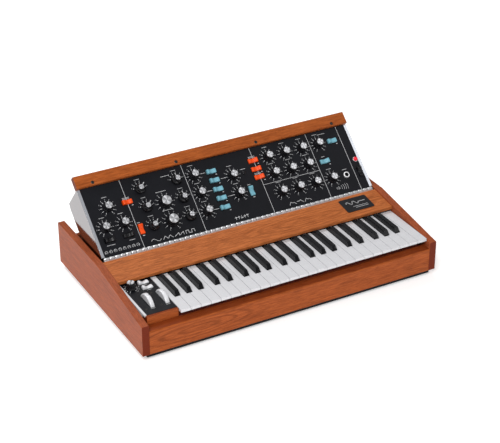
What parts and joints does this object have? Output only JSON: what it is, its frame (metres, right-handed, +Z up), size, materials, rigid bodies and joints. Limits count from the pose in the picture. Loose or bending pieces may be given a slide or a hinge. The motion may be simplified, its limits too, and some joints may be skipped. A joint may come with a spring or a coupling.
{
  "type": "keyboard synthesizer",
  "caption": "Wooden-cased keyboard synthesizer with a tilt-up control panel on a long hinge, hinged keys, turning knobs, rocker switches and two control wheels.",
  "frame": {"origin": "on the floor under the middle of the case", "axes": "+X along the keyboard to the player's right, +Y to the back, +Z up; the panel is raised at rest"},
  "size_m": [0.724, 0.4366, 0.2507],
  "materials": {
    "case_wood": "oiled, satin, reddish brown",
    "base_black": "flat black paint",
    "feet_rubber": "moulded",
    "key_white": "moulded, semi-gloss",
    "key_black": "moulded, semi-gloss",
    "frame_steel": "zinc plated",
    "control_black": "fine satin black",
    "chassis_aluminium": "polished and lacquered",
    "hinge_steel": "nickel plated",
    "board_green": "circuit board and moulded control bodies",
    "socket_metal": "nickel plated, red lens on the power lamp",
    "knob_black": "moulded black with a spun aluminium cap",
    "rocker_orange": "moulded, semi-gloss",
    "rocker_blue": "moulded, semi-gloss",
    "rocker_white": "moulded, semi-gloss",
    "rocker_black": "moulded, semi-gloss",
    "wheel_white": "moulded, semi-gloss"
  },
  "bodies": {
    "root": {"left_cheek": "case_wood", "right_cheek": "case_wood", "front_rail": "case_wood", "name_rail": "case_wood", "rear_rail": "case_wood", "base_board": "base_black", "feet": "feet_rubber", "key_frame": "frame_steel", "left_hand_plate": "control_black", "hinge_case_leaf": "hinge_steel"},
    "panel": {"panel_chassis": "chassis_aluminium", "panel_face": "control_black", "panel_top_rail": "case_wood", "panel_electronics": "board_green", "jacks_and_lamps": "socket_metal"},
    "stay": {"support_stay": "frame_steel"},
    "naturals_odd": {"naturals_odd": "key_white"},
    "naturals_even": {"naturals_even": "key_white"},
    "sharps": {"sharps": "key_black"},
    "pitch_wheel": {"pitch_wheel": "wheel_white"},
    "modulation_wheel": {"modulation_wheel": "wheel_white"},
    "tune_knob": {"tune_knob": "knob_black"},
    "glide_knob": {"glide_knob": "knob_black"},
    "modulation_mix_knob": {"modulation_mix_knob": "knob_black"},
    "osc2_frequency_knob": {"osc2_frequency_knob": "knob_black"},
    "osc3_frequency_knob": {"osc3_frequency_knob": "knob_black"},
    "external_volume_knob": {"external_volume_knob": "knob_black"},
    "noise_volume_knob": {"noise_volume_knob": "knob_black"},
    "main_volume_knob": {"main_volume_knob": "knob_black"},
    "phones_volume_knob": {"phones_volume_knob": "knob_black"},
    "osc1_range_knob": {"osc1_range_knob": "knob_black"},
    "osc1_waveform_knob": {"osc1_waveform_knob": "knob_black"},
    "osc1_volume_knob": {"osc1_volume_knob": "knob_black"},
    "osc2_range_knob": {"osc2_range_knob": "knob_black"},
    "osc2_waveform_knob": {"osc2_waveform_knob": "knob_black"},
    "osc2_volume_knob": {"osc2_volume_knob": "knob_black"},
    "osc3_range_knob": {"osc3_range_knob": "knob_black"},
    "osc3_waveform_knob": {"osc3_waveform_knob": "knob_black"},
    "osc3_volume_knob": {"osc3_volume_knob": "knob_black"},
    "cutoff_knob": {"cutoff_knob": "knob_black"},
    "emphasis_knob": {"emphasis_knob": "knob_black"},
    "contour_amount_knob": {"contour_amount_knob": "knob_black"},
    "filter_attack_knob": {"filter_attack_knob": "knob_black"},
    "filter_decay_knob": {"filter_decay_knob": "knob_black"},
    "filter_sustain_knob": {"filter_sustain_knob": "knob_black"},
    "loudness_attack_knob": {"loudness_attack_knob": "knob_black"},
    "loudness_decay_knob": {"loudness_decay_knob": "knob_black"},
    "loudness_sustain_knob": {"loudness_sustain_knob": "knob_black"},
    "modulation_rate_knob": {"modulation_rate_knob": "knob_black"},
    "mixer_switches": {"mixer_switches": "rocker_blue"},
    "modifier_switches": {"modifier_switches": "rocker_orange"},
    "osc_modulation_switch": {"osc_modulation_switch": "rocker_orange"},
    "keyboard_control_switch": {"keyboard_control_switch": "rocker_orange"},
    "noise_colour_switch": {"noise_colour_switch": "rocker_blue"},
    "main_output_switch": {"main_output_switch": "rocker_blue"},
    "tuning_tone_switch": {"tuning_tone_switch": "rocker_blue"},
    "source_switch_left": {"source_switch_left": "rocker_black"},
    "source_switch_right": {"source_switch_right": "rocker_black"},
    "power_switch": {"power_switch": "rocker_black"},
    "left_hand_switches": {"left_hand_switches": "rocker_white"}
  },
  "joints": [
    {"name": "panel_tilt", "type": "hinge", "parent": "root", "child": "panel", "pos_m": [0, 0.0151, 0.1163], "axis": [1, 0, 0], "range_deg": [-40.9, 0]},
    {"name": "stay_fold", "type": "hinge", "parent": "panel", "child": "stay", "pos_m": [0, 0.18184, 0.15291], "axis": [1, 0, 0], "range_deg": [-58.26, 0]},
    {"name": "naturals_odd_press", "type": "hinge", "parent": "root", "child": "naturals_odd", "pos_m": [0, -0.0133, 0.081], "axis": [1, 0, 0], "range_deg": [0, 2.9], "stiffness_Nm_per_rad": 6, "springref_deg": -18.33},
    {"name": "naturals_even_press", "type": "hinge", "parent": "root", "child": "naturals_even", "pos_m": [0, -0.0133, 0.081], "axis": [1, 0, 0], "range_deg": [0, 2.9], "stiffness_Nm_per_rad": 6, "springref_deg": -18.33},
    {"name": "sharps_press", "type": "hinge", "parent": "root", "child": "sharps", "pos_m": [0, -0.0133, 0.081], "axis": [1, 0, 0], "range_deg": [0, 2.9], "stiffness_Nm_per_rad": 7.5, "springref_deg": -18.91},
    {"name": "pitch_wheel_turn", "type": "hinge", "parent": "root", "child": "pitch_wheel", "pos_m": [-0.311, -0.1396, 0.0755], "axis": [1, 0, 0], "range_deg": [-45, 45], "stiffness_Nm_per_rad": 0.06},
    {"name": "modulation_wheel_turn", "type": "hinge", "parent": "root", "child": "modulation_wheel", "pos_m": [-0.2765, -0.1396, 0.0755], "axis": [1, 0, 0], "range_deg": [-45, 45]},
    {"name": "tune_knob_turn", "type": "hinge", "parent": "panel", "child": "tune_knob", "pos_m": [-0.29, 0.10013, 0.18996], "axis": [0, -0.6547, 0.7559], "range_deg": [-150, 150]},
    {"name": "glide_knob_turn", "type": "hinge", "parent": "panel", "child": "glide_knob", "pos_m": [-0.312, 0.0665, 0.16082], "axis": [0, -0.6547, 0.7559], "range_deg": [-150, 150]},
    {"name": "modulation_mix_knob_turn", "type": "hinge", "parent": "panel", "child": "modulation_mix_knob", "pos_m": [-0.267, 0.0665, 0.16082], "axis": [0, -0.6547, 0.7559], "range_deg": [-150, 150]},
    {"name": "osc2_frequency_knob_turn", "type": "hinge", "parent": "panel", "child": "osc2_frequency_knob", "pos_m": [-0.1593, 0.08388, 0.17588], "axis": [0, -0.6547, 0.7559], "range_deg": [-150, 150]},
    {"name": "osc3_frequency_knob_turn", "type": "hinge", "parent": "panel", "child": "osc3_frequency_knob", "pos_m": [-0.1593, 0.04987, 0.14642], "axis": [0, -0.6547, 0.7559], "range_deg": [-150, 150]},
    {"name": "external_volume_knob_turn", "type": "hinge", "parent": "panel", "child": "external_volume_knob", "pos_m": [0.0183, 0.10013, 0.18996], "axis": [0, -0.6547, 0.7559], "range_deg": [-150, 150]},
    {"name": "noise_volume_knob_turn", "type": "hinge", "parent": "panel", "child": "noise_volume_knob", "pos_m": [0.0183, 0.0665, 0.16082], "axis": [0, -0.6547, 0.7559], "range_deg": [-150, 150]},
    {"name": "main_volume_knob_turn", "type": "hinge", "parent": "panel", "child": "main_volume_knob", "pos_m": [0.253, 0.11752, 0.20502], "axis": [0, -0.6547, 0.7559], "range_deg": [-150, 150]},
    {"name": "phones_volume_knob_turn", "type": "hinge", "parent": "panel", "child": "phones_volume_knob", "pos_m": [0.253, 0.04987, 0.14642], "axis": [0, -0.6547, 0.7559], "range_deg": [-150, 150]},
    {"name": "osc1_range_knob_turn", "type": "hinge", "parent": "panel", "child": "osc1_range_knob", "pos_m": [-0.2033, 0.11752, 0.20502], "axis": [0, -0.6547, 0.7559], "range_deg": [-30, 120]},
    {"name": "osc1_waveform_knob_turn", "type": "hinge", "parent": "panel", "child": "osc1_waveform_knob", "pos_m": [-0.114, 0.11752, 0.20502], "axis": [0, -0.6547, 0.7559], "range_deg": [-90, 60]},
    {"name": "osc1_volume_knob_turn", "type": "hinge", "parent": "panel", "child": "osc1_volume_knob", "pos_m": [-0.071, 0.11752, 0.20502], "axis": [0, -0.6547, 0.7559], "range_deg": [-150, 150]},
    {"name": "osc2_range_knob_turn", "type": "hinge", "parent": "panel", "child": "osc2_range_knob", "pos_m": [-0.2033, 0.08388, 0.17588], "axis": [0, -0.6547, 0.7559], "range_deg": [-30, 120]},
    {"name": "osc2_waveform_knob_turn", "type": "hinge", "parent": "panel", "child": "osc2_waveform_knob", "pos_m": [-0.114, 0.08388, 0.17588], "axis": [0, -0.6547, 0.7559], "range_deg": [-90, 60]},
    {"name": "osc2_volume_knob_turn", "type": "hinge", "parent": "panel", "child": "osc2_volume_knob", "pos_m": [-0.071, 0.08388, 0.17588], "axis": [0, -0.6547, 0.7559], "range_deg": [-150, 150]},
    {"name": "osc3_range_knob_turn", "type": "hinge", "parent": "panel", "child": "osc3_range_knob", "pos_m": [-0.2033, 0.04987, 0.14642], "axis": [0, -0.6547, 0.7559], "range_deg": [-30, 120]},
    {"name": "osc3_waveform_knob_turn", "type": "hinge", "parent": "panel", "child": "osc3_waveform_knob", "pos_m": [-0.114, 0.04987, 0.14642], "axis": [0, -0.6547, 0.7559], "range_deg": [-90, 60]},
    {"name": "osc3_volume_knob_turn", "type": "hinge", "parent": "panel", "child": "osc3_volume_knob", "pos_m": [-0.071, 0.04987, 0.14642], "axis": [0, -0.6547, 0.7559], "range_deg": [-150, 150]},
    {"name": "cutoff_knob_turn", "type": "hinge", "parent": "panel", "child": "cutoff_knob", "pos_m": [0.1195, 0.11752, 0.20502], "axis": [0, -0.6547, 0.7559], "range_deg": [-150, 150]},
    {"name": "emphasis_knob_turn", "type": "hinge", "parent": "panel", "child": "emphasis_knob", "pos_m": [0.1642, 0.11752, 0.20502], "axis": [0, -0.6547, 0.7559], "range_deg": [-150, 150]},
    {"name": "contour_amount_knob_turn", "type": "hinge", "parent": "panel", "child": "contour_amount_knob", "pos_m": [0.2089, 0.11752, 0.20502], "axis": [0, -0.6547, 0.7559], "range_deg": [-150, 150]},
    {"name": "filter_attack_knob_turn", "type": "hinge", "parent": "panel", "child": "filter_attack_knob", "pos_m": [0.1195, 0.08577, 0.17752], "axis": [0, -0.6547, 0.7559], "range_deg": [-150, 150]},
    {"name": "filter_decay_knob_turn", "type": "hinge", "parent": "panel", "child": "filter_decay_knob", "pos_m": [0.1642, 0.08577, 0.17752], "axis": [0, -0.6547, 0.7559], "range_deg": [-150, 150]},
    {"name": "filter_sustain_knob_turn", "type": "hinge", "parent": "panel", "child": "filter_sustain_knob", "pos_m": [0.2089, 0.08577, 0.17752], "axis": [0, -0.6547, 0.7559], "range_deg": [-150, 150]},
    {"name": "loudness_attack_knob_turn", "type": "hinge", "parent": "panel", "child": "loudness_attack_knob", "pos_m": [0.1195, 0.04987, 0.14642], "axis": [0, -0.6547, 0.7559], "range_deg": [-150, 150]},
    {"name": "loudness_decay_knob_turn", "type": "hinge", "parent": "panel", "child": "loudness_decay_knob", "pos_m": [0.1642, 0.04987, 0.14642], "axis": [0, -0.6547, 0.7559], "range_deg": [-150, 150]},
    {"name": "loudness_sustain_knob_turn", "type": "hinge", "parent": "panel", "child": "loudness_sustain_knob", "pos_m": [0.2089, 0.04987, 0.14642], "axis": [0, -0.6547, 0.7559], "range_deg": [-150, 150]},
    {"name": "modulation_rate_knob_turn", "type": "hinge", "parent": "root", "child": "modulation_rate_knob", "pos_m": [-0.322, -0.0809, 0.091], "axis": [0, 0, 1], "range_deg": [-150, 150]},
    {"name": "mixer_switches_rock", "type": "hinge", "parent": "panel", "child": "mixer_switches", "pos_m": [-0.028, 0.08558, 0.17285], "axis": [0, 0.7559, 0.6547], "range_deg": [-16, 0]},
    {"name": "modifier_switches_rock", "type": "hinge", "parent": "panel", "child": "modifier_switches", "pos_m": [0.0805, 0.10372, 0.18857], "axis": [0, 0.7559, 0.6547], "range_deg": [0, 16]},
    {"name": "osc_modulation_switch_rock", "type": "hinge", "parent": "panel", "child": "osc_modulation_switch", "pos_m": [-0.243, 0.10311, 0.18804], "axis": [0, 0.7559, 0.6547], "range_deg": [-16, 0]},
    {"name": "keyboard_control_switch_rock", "type": "hinge", "parent": "panel", "child": "keyboard_control_switch", "pos_m": [-0.234, 0.0521, 0.14385], "axis": [1, 0, 0], "range_deg": [-16, 0]},
    {"name": "noise_colour_switch_rock", "type": "hinge", "parent": "panel", "child": "noise_colour_switch", "pos_m": [0.0487, 0.06797, 0.1576], "axis": [1, 0, 0], "range_deg": [-16, 0]},
    {"name": "main_output_switch_rock", "type": "hinge", "parent": "panel", "child": "main_output_switch", "pos_m": [0.2904, 0.11974, 0.20245], "axis": [0, 0.7559, 0.6547], "range_deg": [-16, 0]},
    {"name": "tuning_tone_switch_rock", "type": "hinge", "parent": "panel", "child": "tuning_tone_switch", "pos_m": [0.2526, 0.08611, 0.17331], "axis": [0, 0.7559, 0.6547], "range_deg": [0, 16]},
    {"name": "source_switch_left_rock", "type": "hinge", "parent": "panel", "child": "source_switch_left", "pos_m": [-0.3117, 0.04756, 0.13992], "axis": [0, 0.7559, 0.6547], "range_deg": [-16, 0]},
    {"name": "source_switch_right_rock", "type": "hinge", "parent": "panel", "child": "source_switch_right", "pos_m": [-0.2663, 0.04756, 0.13992], "axis": [0, 0.7559, 0.6547], "range_deg": [0, 16]},
    {"name": "power_switch_rock", "type": "hinge", "parent": "panel", "child": "power_switch", "pos_m": [0.3284, 0.0521, 0.14385], "axis": [1, 0, 0], "range_deg": [-16, 0]},
    {"name": "left_hand_switches_rock", "type": "hinge", "parent": "root", "child": "left_hand_switches", "pos_m": [-0.2896, -0.0813, 0.0866], "axis": [0, 1, 0], "range_deg": [-16, 0]}
  ],
  "couplings": [
    {"joint": "stay_fold", "follows": "panel_tilt", "ratio": 1.422}
  ]
}
